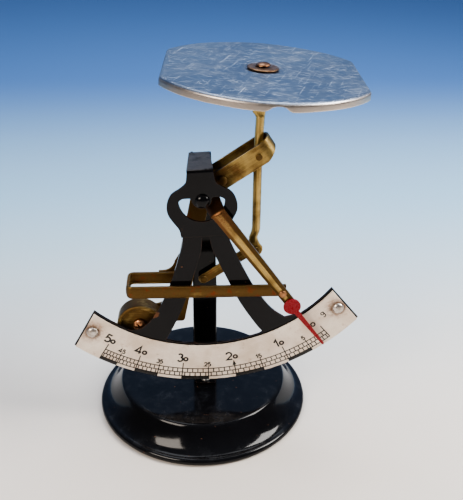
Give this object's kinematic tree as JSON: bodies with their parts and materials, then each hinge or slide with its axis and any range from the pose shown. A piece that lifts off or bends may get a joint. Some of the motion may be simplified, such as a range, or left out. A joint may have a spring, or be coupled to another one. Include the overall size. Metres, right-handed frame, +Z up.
{
  "type": "letter balance",
  "caption": "Pendulum letter balance: an enamelled stand, a brass beam linkage that keeps a round pan level, and a pointer on an arc dial.",
  "frame": {"origin": "under the middle of the whole balance's width and depth, on the surface it stands on", "axes": "+Z up; the dial and the weighing linkage face -Y; +X is to the right seen from the front"},
  "size_m": [0.1206, 0.097, 0.1595],
  "materials": {
    "black_enamel": "glossy black enamel over pressed steel, chipped at the edges",
    "cream_dial": "cream printed sheet metal, stained round its rivets",
    "brass": "tarnished golden brown brass with bright worn ridges",
    "dark_brass": "dark reddish tarnished brass",
    "copper": "coppery worn screw head",
    "aluminium": "dull scratched aluminium with a brighter rim",
    "steel": "plain worn steel",
    "red_paint": "deep red gloss paint"
  },
  "bodies": {
    "stand": {"base_shell": "black_enamel", "rear_post": "black_enamel", "front_plate": "black_enamel", "dial_bracket": "black_enamel", "dial_face": "cream_dial", "dial_rivet_left": "steel", "dial_rivet_right": "steel", "neck_rivet_left": "black_enamel", "neck_rivet_right": "black_enamel", "top_rivet_back": "black_enamel", "top_rivet_front": "black_enamel", "foot_screw_back": "steel", "foot_screw_front": "steel", "foot_nut_back": "steel", "foot_nut_front": "steel", "front_pivot_screw": "black_enamel", "rear_pivot_screw": "steel", "link_stud": "dark_brass"},
    "beam": {"spindle": "steel", "spindle_collar_front": "brass", "spindle_collar_back": "brass", "lever_box": "brass", "lever_rivet": "dark_brass", "rod_pin": "dark_brass", "pendulum_arm": "dark_brass", "brace_bar": "dark_brass", "brace_rivet_front": "dark_brass", "brace_rivet_back": "dark_brass", "pointer_arm": "brass", "pointer": "red_paint", "weight_body": "dark_brass", "weight_screw": "copper"},
    "rod": {"pan_rod": "brass", "pan": "aluminium", "pan_washer": "dark_brass", "pan_screw": "steel"},
    "link": {"lower_link": "brass", "link_pin": "dark_brass"}
  },
  "joints": [
    {"name": "beam_pivot", "type": "hinge", "parent": "stand", "child": "beam", "pos_m": [-0.00565, -0.009, 0.1095], "axis": [0, 1, 0], "range_deg": [-3, 68]},
    {"name": "rod_pivot", "type": "hinge", "parent": "beam", "child": "rod", "pos_m": [0.01632, -0.0061, 0.12432], "axis": [0, 1, 0], "range_deg": [-68.5, 3.5]},
    {"name": "link_pivot", "type": "hinge", "parent": "stand", "child": "link", "pos_m": [-0.00505, -0.0014, 0.065], "axis": [0, 1, 0], "range_deg": [-3.5, 68.5]}
  ],
  "couplings": [
    {"joint": "rod_pivot", "follows": "beam_pivot", "ratio": -1},
    {"joint": "link_pivot", "follows": "beam_pivot", "ratio": 1}
  ]
}
